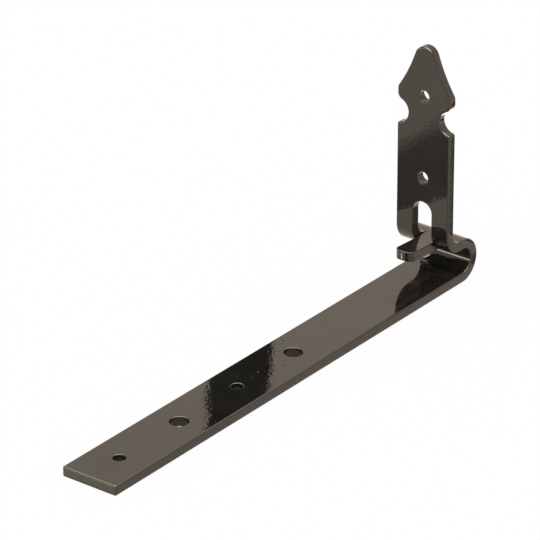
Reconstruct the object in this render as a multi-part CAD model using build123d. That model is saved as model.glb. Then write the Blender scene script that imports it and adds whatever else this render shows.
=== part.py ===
"""Turf roof hook: one flat steel bar, folded back on itself and turned up.

The strap lies on the roof along X. At its rear end the bar folds back over
itself, runs forward as a short flange and turns up into the upright that
holds the log at the eaves. A tongue sawn out of the upright stays flat and
points forward over the strap. The upright ends in a spear head.

Origin: middle of the bar's width, on the strap's underside, below the front
face of the upright. X points to the fold, Z points up. Millimetres.
"""
import os
from math import degrees, pi, sqrt

from build123d import *

# Flat bar that the whole hook is made from
bar_width = 30.0
bar_thickness = 5.0
edge_radius = 0.8
cut_rim = 0.35
end_corner_radius = 1.0

# Strap that is screwed to the roof boards, with small and large holes in turn
strap_reach = 246.4
strap_hole_pairs = 2
first_hole_from_end = 20.9
strap_hole_pitch = 41.7
small_bore = 6.0
large_bore = 9.0

# Fold at the rear, flange above the strap and bend into the upright
fold_inner_radius = 6.2
flange_flat = 2.8
bend_inner_radius = 6.0

# Upright
upright_height = 122.4
upright_bore = 6.0
lower_hole_height = 55.8
upper_hole_height = 97.5

# Tongue and the slot that it is sawn from
slot_width = 10.8
slot_top_height = 43.3
saw_gap = 0.4
tongue_end_trim = 1.6
tongue_lift = 1.2
tongue_corner_radius = 2.6
root_behind_bend = 0.8

# Spear head
notch_below_barb = 12.2
notch_radius = 6.1
shoulder_radius = 1.2
barb_height = 99.2
barb_radius = 3.8
flank_radius = 85.0
nose_radius = 5.6

# Levels and stations that follow from the bar and its bends
half_width = bar_width / 2
flange_underside = bar_thickness + 2 * fold_inner_radius
flange_top = flange_underside + bar_thickness
fold_radius = fold_inner_radius + bar_thickness
bend_radius = bend_inner_radius + bar_thickness
bend_axis_x = bend_radius
bend_axis_z = flange_underside + bend_radius
fold_axis_x = bend_axis_x + flange_flat
tongue_root = bend_axis_x + root_behind_bend
notch_height = barb_height - notch_below_barb
through = 2 * bar_thickness


def bent_bar():
    """The bar's side profile, drawn in XZ and given the bar's width."""
    with BuildPart() as bar:
        with BuildSketch(Plane.XZ):
            with BuildLine():
                Line((-strap_reach, 0), (fold_axis_x, 0))
                CenterArc((fold_axis_x, fold_radius), fold_radius, -90, 180)
                Line((fold_axis_x, flange_top), (bend_axis_x, flange_top))
                CenterArc((bend_axis_x, bend_axis_z), bend_inner_radius, 270, -90)
                Line((bar_thickness, bend_axis_z), (bar_thickness, upright_height))
                Line((bar_thickness, upright_height), (0, upright_height))
                Line((0, upright_height), (0, bend_axis_z))
                CenterArc((bend_axis_x, bend_axis_z), bend_radius, 180, 90)
                Line((bend_axis_x, flange_underside), (fold_axis_x, flange_underside))
                CenterArc((fold_axis_x, fold_radius), fold_inner_radius, 90, -180)
                Line((fold_axis_x, bar_thickness), (-strap_reach, bar_thickness))
                Line((-strap_reach, bar_thickness), (-strap_reach, 0))
            make_face()
        extrude(amount=half_width, both=True)
    return bar.part


def spear_outline():
    """The upright seen from the front: full width, notches, barbs and nose."""
    nose_z = upright_height - nose_radius
    rise = nose_z - barb_height
    span = sqrt(half_width**2 + rise**2)
    reach = flank_radius + nose_radius
    along = (reach**2 - flank_radius**2 + span**2) / (2 * span)
    out = sqrt(reach**2 - along**2)
    flank_y = (along * half_width + out * rise) / span
    flank_z = nose_z + (out * half_width - along * rise) / span
    share = nose_radius / reach
    touch = (share * flank_y, nose_z + share * (flank_z - nose_z))
    with BuildSketch(Plane.YZ) as outline:
        with BuildLine():
            Line((0, -through), (half_width, -through))
            Line((half_width, -through), (half_width, barb_height))
            RadiusArc((half_width, barb_height), touch, flank_radius)
            ThreePointArc(touch, on_nose(touch, nose_z), (0, upright_height))
            Line((0, upright_height), (0, -through))
        make_face()
        with Locations((half_width, notch_height)):
            Circle(notch_radius, mode=Mode.SUBTRACT)
        fillet(bar_edge_corners(outline)[0], shoulder_radius)
        fillet(bar_edge_corners(outline)[-1], barb_radius)
        fillet(bar_edge_corners(outline)[-2], barb_radius)
        mirror(about=Plane.YZ)
    return outline.sketch


def bar_edge_corners(outline):
    """Corners of the outline on the bar's edge, from the lowest up."""
    corners = outline.vertices().filter_by(lambda v: v.X > half_width - 0.01 and v.Y > 0)
    return corners.sort_by(Axis.Y)


def on_nose(touch, nose_z):
    """A point of the nose between its top and where the flank meets it."""
    y = touch[0] / 2
    return (y, nose_z + sqrt(nose_radius**2 - y**2))


def slot_cutter():
    """Round-topped slot through the upright and the bend, down to the root."""
    with BuildPart() as cutter:
        with BuildSketch(Plane.YZ.offset(-through)):
            bottom = (bar_thickness + flange_underside) / 2
            straight = slot_top_height - slot_width / 2 - bottom
            with Locations((0, bottom + straight / 2)):
                Rectangle(slot_width, straight)
            with Locations((0, bottom + straight)):
                Circle(slot_width / 2)
        extrude(amount=through + tongue_root)
    return cutter.part


def tongue():
    """The strip sawn from the slot, springing up a little towards its tip."""
    width = slot_width - 2 * saw_gap
    bend_length = pi / 2 * (bend_inner_radius + bar_thickness / 2)
    tip = bend_axis_z - bend_length - slot_top_height + tongue_end_trim + bend_axis_x
    spring_from = bend_axis_x - root_behind_bend
    reach = spring_from - tip
    under = reach**2 / (2 * tongue_lift)
    over = under - bar_thickness
    sweep = degrees(reach / under)
    centre = (spring_from, flange_underside + under)
    with BuildPart() as strip:
        with BuildSketch(Plane.XZ):
            with BuildLine():
                underside = CenterArc(centre, under, 270, -sweep)
                top = CenterArc(centre, over, 270 - sweep, sweep)
                Line(underside @ 1, top @ 0)
                Line(top @ 1, (tongue_root, flange_top))
                Line((tongue_root, flange_top), (tongue_root, flange_underside))
                Line((tongue_root, flange_underside), underside @ 0)
            make_face()
        extrude(amount=width / 2, both=True)
        corners = strip.edges().filter_by(GeomType.LINE).filter_by(lambda e: e.length < width / 1.5)
        fillet(corners.sort_by(Axis.X)[:2], tongue_corner_radius)
    return strip.part


def bolt_holes():
    """Holes down through the strap and back through the upright."""
    with BuildPart() as holes:
        for i in range(2 * strap_hole_pairs):
            bore = large_bore if i % 2 else small_bore
            x = first_hole_from_end - strap_reach + i * strap_hole_pitch
            with Locations((x, 0, bar_thickness / 2)):
                Cylinder(bore / 2, through)
        for z in (lower_hole_height, upper_hole_height):
            with Locations(Location((bar_thickness / 2, 0, z), (0, 90, 0))):
                Cylinder(upright_bore / 2, through)
    return holes.part


def is_rolled(face):
    """True for the bar's two broad rolled faces, flat or bent."""
    if face.geom_type == GeomType.CYLINDER:
        return abs(face.axis_of_rotation.direction.Y) > 0.99
    normal = face.normal_at(None)
    stations = (0, bar_thickness)
    on_upright = min(abs(face.center().X - x) for x in stations) < 0.01
    return abs(normal.Z) > 0.99 or (abs(normal.X) > 0.99 and on_upright)


def rim_edges(solid):
    """Edges between a rolled face and a cut one: the outline, slot and holes."""
    seen = {}
    for face in solid.faces():
        if is_rolled(face):
            for edge in face.edges():
                seen.setdefault(edge, []).append(face)
    return ShapeList(edge for edge, faces in seen.items() if len(faces) == 1)


def is_sawn(rim):
    """True for the rims of the slot and of the tongue inside it."""
    box = rim.bounding_box()
    in_width = max(box.max.Y, -box.min.Y) < slot_width / 2 + cut_rim
    return in_width and box.max.Z < slot_top_height + cut_rim


def turf_roof_hook():
    """The whole hook: outline and slot rims rounded, hole rims chamfered."""
    outline = extrude(spear_outline(), amount=2 * strap_reach, both=True)
    bar = bent_bar() & outline
    end_corners = bar.edges().filter_by(Axis.Z).group_by(Axis.X)[0]
    bar = fillet(end_corners, end_corner_radius)
    bar = bar - slot_cutter() + tongue() - bolt_holes()
    bar = fillet(rim_edges(bar).filter_by(lambda rim: not rim.is_closed and not is_sawn(rim)), edge_radius)
    bar = fillet(rim_edges(bar).filter_by(lambda rim: not rim.is_closed and is_sawn(rim)), cut_rim)
    return chamfer(rim_edges(bar).filter_by(lambda rim: rim.is_closed), cut_rim)


if __name__ == "__main__":
    os.makedirs("parts", exist_ok=True)
    hook = turf_roof_hook()
    export_step(hook, "parts/hook_bar.step")
    print("volume", round(hook.volume), "mm3, box", hook.bounding_box())
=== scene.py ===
"""Turf roof hook of black painted flat steel, on a plain white studio floor."""

from math import cos, pi, sin, sqrt

import bmesh
import bpy
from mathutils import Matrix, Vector


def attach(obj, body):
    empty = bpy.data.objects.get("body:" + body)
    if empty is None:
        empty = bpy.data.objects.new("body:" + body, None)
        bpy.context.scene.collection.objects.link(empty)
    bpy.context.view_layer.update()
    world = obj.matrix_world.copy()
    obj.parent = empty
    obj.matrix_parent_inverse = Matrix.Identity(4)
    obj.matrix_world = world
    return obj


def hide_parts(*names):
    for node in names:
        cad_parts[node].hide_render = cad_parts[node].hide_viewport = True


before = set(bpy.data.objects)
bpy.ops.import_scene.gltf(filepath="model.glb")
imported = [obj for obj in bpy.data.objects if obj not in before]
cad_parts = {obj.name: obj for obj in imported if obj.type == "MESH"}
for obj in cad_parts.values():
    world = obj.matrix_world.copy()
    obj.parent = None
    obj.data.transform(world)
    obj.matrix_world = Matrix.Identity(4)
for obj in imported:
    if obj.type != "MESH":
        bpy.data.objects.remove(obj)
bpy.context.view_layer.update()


# The hook: one piece of hot rolled flat steel, 30 x 5 mm. It is cut and
# punched flat, its burrs are rounded off, and it is then folded back on
# itself and turned up. Gloss black paint covers it all over.
mm = 0.001
bar_width, bar_thickness = 30.0 * mm, 5.0 * mm
half_width, end_corner = bar_width / 2, 1.0 * mm
rolled_rim, cut_rim, rim_facets = 0.8 * mm, 0.35 * mm, 4
weld = 0.01 * mm  # points closer than this become one

# Stations along the flat blank, from the strap's free end to the upright
free_end = -246.4 * mm
fold_start, fold_inner, fold_ribs = 13.8 * mm, 6.2 * mm, 36
fold_length = pi * (fold_inner + bar_thickness / 2)
flange_start = fold_start + fold_length
flange_length, bend_inner, bend_ribs = 2.8 * mm, 6.0 * mm, 20
bend_start = flange_start + flange_length
bend_length = pi / 2 * (bend_inner + bar_thickness / 2)
upright_start = bend_start + bend_length
flange_underside = bar_thickness + 2 * fold_inner
bend_height = flange_underside + bend_inner + bar_thickness
upright_foot = upright_start - bend_height

# Holes and their bores, in millimetres along the strap and up the upright
strap_holes = ((-225.5, 6.0), (-183.8, 9.0), (-142.1, 6.0), (-100.4, 9.0))
upright_holes = ((55.8, 6.0), (97.5, 6.0))

# Head: a notch under each barb, and concave flanks up to a round nose
notch_height, barb_height, nose_height = 87.0 * mm, 99.2 * mm, 122.4 * mm
notch_radius, shoulder_radius, barb_radius = 6.1 * mm, 1.2 * mm, 3.8 * mm
nose_radius, flank_radius = 5.6 * mm, 85.0 * mm
notch = Vector((upright_foot + notch_height, half_width))
barb_station, barb_y = upright_foot + barb_height, half_width - barb_radius
nose = Vector((upright_foot + nose_height - nose_radius, 0))


def beside_notch(radius):
    """How far along the bar's edge an arc stands off that touches the notch."""
    return sqrt((notch_radius + radius) ** 2 - radius**2)


rise = nose.x - barb_station
span, reach = sqrt(half_width**2 + rise**2), flank_radius + nose_radius
along = (reach**2 - flank_radius**2 + span**2) / (2 * span)
out = sqrt(reach**2 - along**2)
flank = nose + Vector((out * half_width - along * rise, along * half_width + out * rise)) / span
flank_drop = flank.y - barb_y
low_barb = notch + Vector((beside_notch(barb_radius), -barb_radius))
high_barb = Vector((flank.x - sqrt((flank_radius + barb_radius) ** 2 - flank_drop**2), barb_y))
shoulder = notch - Vector((beside_notch(shoulder_radius), shoulder_radius))
nose_side = nose + (flank - nose).normalized() * nose_radius
barb_top = high_barb + (flank - high_barb).normalized() * barb_radius
notch_top = low_barb + (notch - low_barb).normalized() * barb_radius
notch_foot = shoulder + (notch - shoulder).normalized() * shoulder_radius

# Slot, and the tongue that is sawn free inside it and springs up a little
slot_half, slot_round = 5.4 * mm, upright_foot + 37.9 * mm
tongue_half, tongue_corner = 5.0 * mm, 3.5 * mm
tongue_tip, saw_root = flange_start + 29.45 * mm, flange_start + 2.0 * mm
spring_from, spring_lift = flange_start + 3.6 * mm, 1.2 * mm
kerf_middle, kerf_half = (slot_half + tongue_half) / 2, (slot_half - tongue_half) / 2


def cut_to(blank, pen, x, y):
    """A straight cut from the pen to a point of the blank."""
    tip = bmesh.ops.extrude_vert_indiv(blank, verts=[pen])["verts"][0]
    tip.co = (x, y, 0)
    return tip


def cut_round(blank, pen, centre, x, y, facets):
    """A round cut about a centre, from the pen to a point of the blank."""
    ahead = Vector((x - centre[0], y - centre[1]))
    behind = Vector((pen.co.x - centre[0], pen.co.y - centre[1]))
    arc = bmesh.ops.spin(
        blank, geom=[pen], cent=(centre[0], centre[1], 0), axis=(0, 0, 1),
        angle=-behind.angle_signed(ahead), steps=facets, dvec=(0, 0, 0))
    return next(v for v in arc["geom_last"] if isinstance(v, bmesh.types.BMVert))


def cut_hole(blank, pen, x, bore):
    """Half of a punched hole, whose centre is on the bar's middle line."""
    pen = cut_to(blank, pen, x - bore / 2, 0)
    pen = cut_round(blank, pen, (x, 0), x, bore / 2, 10)
    return cut_round(blank, pen, (x, 0), x + bore / 2, 0, 10)


# Half of the blank's outline, from the free end along the middle line and
# back along the bar's edge, filled and later mirrored into the whole blank.
# The last number of each round cut is its count of facets.
blank = bmesh.new()
start = bmesh.ops.create_vert(blank, co=(free_end, 0, 0))["vert"][0]
pen = start
for station, bore in strap_holes:
    pen = cut_hole(blank, pen, station * mm, bore * mm)
pen = cut_to(blank, pen, tongue_tip, 0)
pen = cut_to(blank, pen, tongue_tip, tongue_half - tongue_corner)
pen = cut_round(
    blank, pen, (tongue_tip - tongue_corner, tongue_half - tongue_corner),
    tongue_tip - tongue_corner, tongue_half, 8)
pen = cut_to(blank, pen, saw_root, tongue_half)
pen = cut_round(blank, pen, (saw_root, kerf_middle), saw_root - kerf_half, kerf_middle, 2)
pen = cut_round(blank, pen, (saw_root, kerf_middle), saw_root, slot_half, 2)
pen = cut_to(blank, pen, slot_round, slot_half)
pen = cut_round(blank, pen, (slot_round, 0), slot_round + slot_half, 0, 16)
for station, bore in upright_holes:
    pen = cut_hole(blank, pen, upright_foot + station * mm, bore * mm)
pen = cut_to(blank, pen, nose.x + nose_radius, 0)
pen = cut_round(blank, pen, nose, *nose_side, 12)
pen = cut_round(blank, pen, flank, *barb_top, 14)
pen = cut_round(blank, pen, high_barb, high_barb.x, half_width, 6)
pen = cut_to(blank, pen, low_barb.x, half_width)
pen = cut_round(blank, pen, low_barb, *notch_top, 8)
pen = cut_round(blank, pen, notch, *notch_foot, 18)
pen = cut_round(blank, pen, shoulder, shoulder.x, half_width, 4)
pen = cut_to(blank, pen, free_end + end_corner, half_width)
pen = cut_round(
    blank, pen, (free_end + end_corner, half_width - end_corner),
    free_end, half_width - end_corner, 4)
blank.edges.new((pen, start))
bmesh.ops.remove_doubles(blank, verts=blank.verts, dist=weld)
plate = bmesh.ops.contextual_create(blank, geom=list(blank.edges))["faces"]


def everything(blank):
    """All points, edges and faces of the blank."""
    return [*blank.verts, *blank.edges, *blank.faces]


def is_rim(e):
    """True for an edge that goes round the blank's top or underside."""
    return len(e.link_faces) == 2 and abs(e.verts[0].co.z - e.verts[1].co.z) < weld


def is_inner(e):
    """True for a rim of a hole, of the slot or of the tongue."""
    low, high = free_end + 5 * mm, barb_station + 5 * mm
    return all(v.co.y < slot_half + 0.1 * mm and low < v.co.x < high for v in e.verts)


# The blank is pulled up to the bar's thickness. The rims of holes, slot and
# tongue are rounded a little, and the rims along the outline more.
raised = bmesh.ops.extrude_face_region(blank, geom=plate, use_keep_orig=True)["geom"]
top = [g for g in raised if isinstance(g, bmesh.types.BMVert)]
bmesh.ops.translate(blank, vec=(0, 0, bar_thickness), verts=top)
middle_walls = [f for f in blank.faces if all(abs(v.co.y) < weld for v in f.verts)]
bmesh.ops.delete(blank, geom=middle_walls, context="FACES")
rims = [e for e in blank.edges if is_rim(e)]
inner = [e for e in rims if is_inner(e)]
outer = [e for e in rims if not is_inner(e)]
for edges, radius in ((inner, cut_rim), (outer, rolled_rim)):
    bmesh.ops.bevel(
        blank, geom=edges, offset=radius, offset_type="OFFSET", affect="EDGES",
        segments=rim_facets, profile=0.5, material=-1, clamp_overlap=False)
bmesh.ops.mirror(blank, geom=everything(blank), axis="Y", merge_dist=weld)

# Ribs of edges across the blank where the fold and the bend will be
for first, length, ribs in ((fold_start, fold_length, fold_ribs), (bend_start, bend_length, bend_ribs)):
    for rib in range(ribs + 1):
        bmesh.ops.bisect_plane(
            blank, geom=everything(blank), dist=weld / 5,
            plane_co=(first + length * rib / ribs, 0, 0), plane_no=(1, 0, 0))


def fold_bar(flat):
    """Where a point of the flat blank goes when the bar is folded."""
    x, y, depth = flat
    if x <= fold_start:
        return Vector((x, y, depth))
    if x <= flange_start:
        turn = (x - fold_start) / fold_length * pi
        fold_height = fold_inner + bar_thickness
        radius = fold_height - depth
        return Vector((fold_start + radius * sin(turn), y, fold_height - radius * cos(turn)))
    # Past the fold the bar runs forward again, with its top turned down
    back, height = fold_start + flange_start - x, flange_underside + bar_thickness - depth
    inside_slot = Vector((max(x - slot_round, 0), y)).length < slot_half - 0.05 * mm
    if inside_slot and x > spring_from:
        sprung = (x - spring_from) ** 2 / (tongue_tip - spring_from) ** 2 * spring_lift
        return Vector((back, y, height + sprung))
    if x <= bend_start or inside_slot:
        return Vector((back, y, height))
    if x <= upright_start:
        turn = (x - bend_start) / bend_length * pi / 2
        bend_x, radius = bend_inner + bar_thickness, bend_inner + depth
        return Vector((bend_x - radius * sin(turn), y, bend_height - radius * cos(turn)))
    return Vector((bar_thickness - depth, y, x - upright_foot))


for v in blank.verts:
    v.co = fold_bar(v.co)
bmesh.ops.recalc_face_normals(blank, faces=blank.faces)
for f in blank.faces:
    f.smooth = True
hook_mesh = bpy.data.meshes.new("hook")
blank.to_mesh(hook_mesh)
blank.free()
hook = bpy.data.objects.new("hook", hook_mesh)
bpy.context.scene.collection.objects.link(hook)
weighted = hook.modifiers.new("flat faces stay flat", "WEIGHTED_NORMAL")
weighted.weight = 100

# Gloss black paint: a trace of brown, thinner and duller on the rims. Orange
# peel breaks up the edges of what it mirrors, long waves bend them, and a
# few dust nibs stand out of the skin.
black, brown_black = (0.0125, 0.0115, 0.0092, 1), (0.0170, 0.0152, 0.0118, 1)
rim_brown, rim_width, rim_dullness = (0.034, 0.029, 0.022, 1), 1.2 * mm, 0.05
paint = bpy.data.materials.new("black_gloss_paint")
paint.use_nodes = True
paint_nodes, paint_links = paint.node_tree.nodes, paint.node_tree.links
shader = paint_nodes["Principled BSDF"]
shader.inputs["IOR"].default_value = 1.5
place = paint_nodes.new("ShaderNodeTexCoord")


def ripple(scale, detail, height, above=None):
    """Adds waves of one size to the paint's skin."""
    noise = paint_nodes.new("ShaderNodeTexNoise")
    noise.inputs["Scale"].default_value = scale
    noise.inputs["Detail"].default_value = detail
    paint_links.new(place.outputs["Object"], noise.inputs["Vector"])
    return raise_skin(noise.outputs["Fac"], height, above)


def raise_skin(level, height, above=None):
    """Raises the paint's skin by a pattern, on top of the bump before it."""
    bump = paint_nodes.new("ShaderNodeBump")
    bump.inputs["Strength"].default_value = 1.0
    bump.inputs["Distance"].default_value = height
    paint_links.new(level, bump.inputs["Height"])
    if above:
        paint_links.new(above.outputs["Normal"], bump.inputs["Normal"])
    return bump


def fade(value, low, high, at_low, at_high):
    """Turns one range of a value smoothly into another."""
    spread = paint_nodes.new("ShaderNodeMapRange")
    spread.interpolation_type = "SMOOTHSTEP"
    spread.inputs["From Min"].default_value = low
    spread.inputs["From Max"].default_value = high
    spread.inputs["To Min"].default_value = at_low
    spread.inputs["To Max"].default_value = at_high
    paint_links.new(value, spread.inputs["Value"])
    return spread.outputs["Result"]


waves = ripple(scale=90, detail=0.0, height=55e-6)
peel = ripple(scale=700, detail=1.0, height=20e-6, above=waves)
nib_cells = paint_nodes.new("ShaderNodeTexVoronoi")
nib_cells.inputs["Scale"].default_value = 170
paint_links.new(place.outputs["Object"], nib_cells.inputs["Vector"])
nib_tops = fade(nib_cells.outputs["Distance"], 0.02, 0.13, at_low=1.0, at_high=0.0)
nibs = raise_skin(nib_tops, height=48e-6, above=peel)
paint_links.new(nibs.outputs["Normal"], shader.inputs["Normal"])

# The rims are found by how far a rounded normal turns from the true one
rounded = paint_nodes.new("ShaderNodeBevel")
rounded.inputs["Radius"].default_value = rim_width
true_face = paint_nodes.new("ShaderNodeNewGeometry")
agree = paint_nodes.new("ShaderNodeVectorMath")
agree.operation = "DOT_PRODUCT"
paint_links.new(rounded.outputs["Normal"], agree.inputs[0])
paint_links.new(true_face.outputs["Normal"], agree.inputs[1])
thin = fade(agree.outputs["Value"], 0.80, 0.99, at_low=1.0, at_high=0.0)

# Clouds of brown, and the rims' own colour and dullness over them. Sockets
# 6 and 7 of a Mix node are its two colours, and 2 is the colour it gives.
cloud = paint_nodes.new("ShaderNodeTexNoise")
cloud.inputs["Scale"].default_value = 45
cloud.inputs["Detail"].default_value = 4
paint_links.new(place.outputs["Object"], cloud.inputs["Vector"])
tint = paint_nodes.new("ShaderNodeMix")
tint.data_type = "RGBA"
tint.inputs[6].default_value = black
tint.inputs[7].default_value = brown_black
paint_links.new(fade(cloud.outputs["Fac"], 0.35, 0.65, at_low=0.0, at_high=1.0), tint.inputs[0])
worn = paint_nodes.new("ShaderNodeMix")
worn.data_type = "RGBA"
worn.inputs[7].default_value = rim_brown
paint_links.new(thin, worn.inputs[0])
paint_links.new(tint.outputs[2], worn.inputs[6])
paint_links.new(worn.outputs[2], shader.inputs["Base Color"])
gloss = paint_nodes.new("ShaderNodeMath")
gloss.operation = "MULTIPLY_ADD"
gloss.inputs[1].default_value = rim_dullness
paint_links.new(thin, gloss.inputs[0])
paint_links.new(fade(cloud.outputs["Fac"], 0.3, 0.7, at_low=0.035, at_high=0.06), gloss.inputs[2])
paint_links.new(gloss.outputs[0], shader.inputs["Roughness"])
hook_mesh.materials.append(paint)

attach(hook, "root")
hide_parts("hook_bar")


# Studio: a white floor and surround. To the eye they are pure white, and
# the gloss mirrors them as warm lamplight. The floor keeps a faint shadow,
# lies a hair below the strap and is clear when looked through from below.
def flat_card(name, corners):
    """A four-cornered card of the studio, given its corners in millimetres."""
    card_bm = bmesh.new()
    bmesh.ops.create_grid(card_bm, x_segments=1, y_segments=1, size=1.0)
    for v, corner_at in zip(card_bm.verts, corners):
        v.co = Vector(corner_at) * mm
    mesh = bpy.data.meshes.new(name)
    card_bm.to_mesh(mesh)
    card_bm.free()
    card = bpy.data.objects.new(name, mesh)
    bpy.context.scene.collection.objects.link(card)
    return card


def lying_card(name, corners, height=0.3):
    """A card that lies level, given its corners in plan."""
    return flat_card(name, [(x, y, height) for x, y in corners])


def only_mirrored(card, colour, strength):
    """Makes a card that the gloss mirrors once, and that is seen nowhere else."""
    glow = bpy.data.materials.new(card.name)
    glow.use_nodes = True
    glow_nodes, glow_links = glow.node_tree.nodes, glow.node_tree.links
    glow_nodes.remove(glow_nodes["Principled BSDF"])
    lamp = glow_nodes.new("ShaderNodeEmission")
    lamp.inputs["Color"].default_value = (*colour, 1)
    # A ray's depth is 1 at its first mirroring and 2 at the next
    first_mirror = glow_nodes.new("ShaderNodeMath")
    first_mirror.operation = "LESS_THAN"
    first_mirror.inputs[1].default_value = 1.5
    shine = glow_nodes.new("ShaderNodeMath")
    shine.operation = "MULTIPLY"
    shine.inputs[1].default_value = strength
    glow_rays = glow_nodes.new("ShaderNodeLightPath")
    glow_links.new(glow_rays.outputs["Ray Depth"], first_mirror.inputs[0])
    glow_links.new(first_mirror.outputs[0], shine.inputs[0])
    glow_links.new(shine.outputs[0], lamp.inputs["Strength"])
    glow_links.new(lamp.outputs[0], glow_nodes["Material Output"].inputs["Surface"])
    card.data.materials.append(glow)
    card.visible_camera = card.visible_diffuse = card.visible_shadow = False
    card.visible_transmission = card.visible_volume_scatter = False


floor_corners = [(-6000, -6000), (6000, -6000), (-6000, 6000), (6000, 6000)]
floor = lying_card("floor", floor_corners, height=-0.05)
white = bpy.data.materials.new("floor_white")
white.use_nodes = True
floor_nodes, floor_links = white.node_tree.nodes, white.node_tree.links
floor_nodes.remove(floor_nodes["Principled BSDF"])
floor_rays = floor_nodes.new("ShaderNodeLightPath")
floor_side = floor_nodes.new("ShaderNodeNewGeometry")
clear = floor_nodes.new("ShaderNodeBsdfTransparent")
chalk = floor_nodes.new("ShaderNodeBsdfDiffuse")
chalk.inputs["Color"].default_value = (0.97, 0.97, 0.97, 1)
pure_white = floor_nodes.new("ShaderNodeEmission")
pure_white.inputs["Color"].default_value = (1, 1, 1, 1)
seen = floor_nodes.new("ShaderNodeMixShader")
seen.inputs["Fac"].default_value = 0.95
floor_links.new(chalk.outputs[0], seen.inputs[1])
floor_links.new(pure_white.outputs[0], seen.inputs[2])
warm = floor_nodes.new("ShaderNodeBsdfDiffuse")
warm.inputs["Color"].default_value = (1.40, 1.17, 0.99, 1)
mirrored = floor_nodes.new("ShaderNodeMixShader")
floor_links.new(floor_rays.outputs["Is Glossy Ray"], mirrored.inputs["Fac"])
floor_links.new(seen.outputs[0], mirrored.inputs[1])
floor_links.new(warm.outputs[0], mirrored.inputs[2])
from_below = floor_nodes.new("ShaderNodeMixShader")
floor_links.new(floor_side.outputs["Backfacing"], from_below.inputs["Fac"])
floor_links.new(mirrored.outputs[0], from_below.inputs[1])
floor_links.new(clear.outputs[0], from_below.inputs[2])
floor_links.new(from_below.outputs[0], floor_nodes["Material Output"].inputs["Surface"])
floor.data.materials.append(white)

# White room around the hook. The gloss mirrors its walls a little warm, and
# a strong light overhead picks out the rims. It begins 39 degrees above the
# floor and is brightest straight up.
wall_light, overhead_light = (1.21, 1.03, 0.86, 1), (13.5, 12.1, 10.4, 1)
room = bpy.data.worlds.new("white room")
bpy.context.scene.world = room
room.use_nodes = True
room_nodes, room_links = room.node_tree.nodes, room.node_tree.links
room_rays = room_nodes.new("ShaderNodeLightPath")
tone = room_nodes.new("ShaderNodeMix")
tone.data_type = "RGBA"
tone.inputs[6].default_value = (1, 1, 1, 1)
direction = room_nodes.new("ShaderNodeTexCoord")
upward = room_nodes.new("ShaderNodeSeparateXYZ")
room_links.new(direction.outputs["Generated"], upward.inputs[0])
overhead = room_nodes.new("ShaderNodeMapRange")
overhead.interpolation_type = "SMOOTHSTEP"
overhead.inputs["From Min"].default_value = 0.63
overhead.inputs["From Max"].default_value = 1.0
room_links.new(upward.outputs["Z"], overhead.inputs["Value"])
lamplight = room_nodes.new("ShaderNodeMix")
lamplight.data_type = "RGBA"
lamplight.inputs[6].default_value = wall_light
lamplight.inputs[7].default_value = overhead_light
room_links.new(overhead.outputs["Result"], lamplight.inputs[0])
room_links.new(lamplight.outputs[2], tone.inputs[7])
room_links.new(room_rays.outputs["Is Glossy Ray"], tone.inputs[0])
room_links.new(tone.outputs[2], room_nodes["Background"].inputs["Color"])

# Black flag behind, square to the camera, whose upright edges end the dark
# patch on the strap
sight, aside = Vector((0.7966, 0.6045, 0)), Vector((0.6045, -0.7966, 0))
flag_foot, flag_low, flag_top = sight * 117, Vector((0, 0, 60)), Vector((0, 0, 210))
flag_left, flag_right = flag_foot + aside * -105.5, flag_foot + aside * -72.3
flag = flat_card("black flag", [
    flag_left + flag_low, flag_right + flag_low, flag_left + flag_top, flag_right + flag_top])
only_mirrored(flag, colour=(0, 0, 0), strength=0)

# Dark strip on the table to the left, mirrored across the upright, with a
# half tone along its far edge
strip = lying_card("dark strip", [(-40, 63), (-142, 26), (-70, 97), (-216, 96)])
only_mirrored(strip, colour=(0.31, 0.245, 0.22), strength=1)
half_tone = lying_card("soft edge of the strip", [(-70, 97), (-216, 96), (-73, 104), (-226, 103)])
only_mirrored(half_tone, colour=(0.76, 0.63, 0.54), strength=1)

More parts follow.
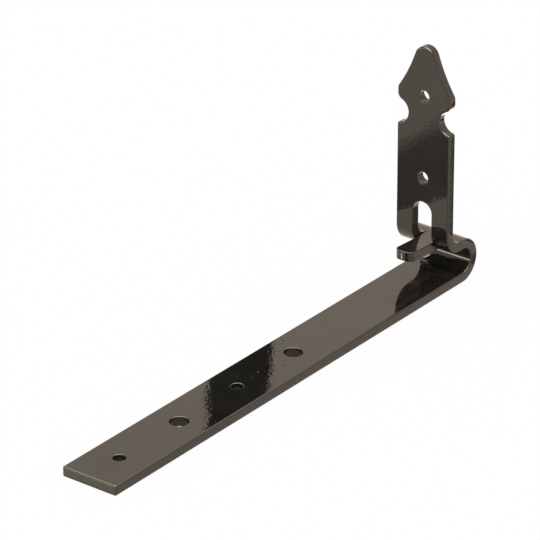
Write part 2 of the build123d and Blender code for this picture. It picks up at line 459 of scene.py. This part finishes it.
# To the right, a grey card darkens the strap's side. Two long dark strips
# behind it leave a line of light along the upright's side, and a dark patch
# darkens the fold's. A light green card is mirrored in the free end.
grey = lying_card("grey card", [(-260, -60), (50, -60), (-260, -15.5), (50, -15.5)], height=0.2)
only_mirrored(grey, colour=(0.95, 0.80, 0.68), strength=1)
wide = lying_card("wide strip behind", [(52, -49.4), (192, -146.4), (52, -24), (192, -122)])
narrow = lying_card("narrow strip behind", [(52, -57), (192, -154), (52, -50.3), (192, -147.3)])
patch = lying_card("patch beside the fold", [(36, -28.5), (44, -28.5), (31, -22), (40, -22)])
for dark_card, level in ((wide, 1.0), (narrow, 1.7), (patch, 1.0)):
    only_mirrored(dark_card, colour=(0.25, 0.215, 0.185), strength=level)
end_card = lying_card("green card", [(-300, -30), (-247.5, -30), (-300, 45), (-247.5, 45)])
only_mirrored(end_card, colour=(1.62, 1.50, 1.13), strength=1)

# Small light cards on the table: one by the tongue, mirrored on its front,
# and one behind, mirrored in the undersides of barbs and notches
near_card = lying_card("card by the tongue", [(-46, 21.5), (-46, 23.7), (-53, 26.5), (-53, 28.7)])
only_mirrored(near_card, colour=(1.0, 0.94, 0.84), strength=8)
rear_card = lying_card("card behind", [(80, -4), (120, -4), (80, 28), (120, 28)])
only_mirrored(rear_card, colour=(1.0, 0.96, 0.9), strength=4.5)

# Low softbox far to the left, mirrored as a line in the fold's inside
softbox = flat_card("softbox", [(-900, 400, 0), (-500, 850, 0), (-900, 400, 130), (-500, 850, 130)])
only_mirrored(softbox, colour=(1.0, 0.94, 0.86), strength=10)

# Camera: far off with a long lens, at the photo's viewing angle. Its focal
# length and the picture's centre are in pixels of the photo's frame.
frame_px, focal_px, centre_x, centre_y = 540, 4000, 295.36, 243.09
azimuth, tilt, distance = 37.192 * pi / 180, 25.864 * pi / 180, 1.899
target = Vector((-33.27, 49.72, 20.0)) * mm
look = Vector((cos(azimuth) * cos(tilt), sin(azimuth) * cos(tilt), -sin(tilt)))
camera_data = bpy.data.cameras.new("camera")
camera_data.sensor_width = 36.0
camera_data.lens = focal_px / frame_px * 36
camera_data.shift_x = (frame_px / 2 - centre_x) / frame_px
camera_data.shift_y = (centre_y - frame_px / 2) / frame_px
camera = bpy.data.objects.new("camera", camera_data)
bpy.context.scene.collection.objects.link(camera)
camera.location = target - look * distance
camera.rotation_euler = look.to_track_quat("-Z", "Y").to_euler()
bpy.context.scene.camera = camera
bpy.context.scene.view_settings.view_transform = "Standard"
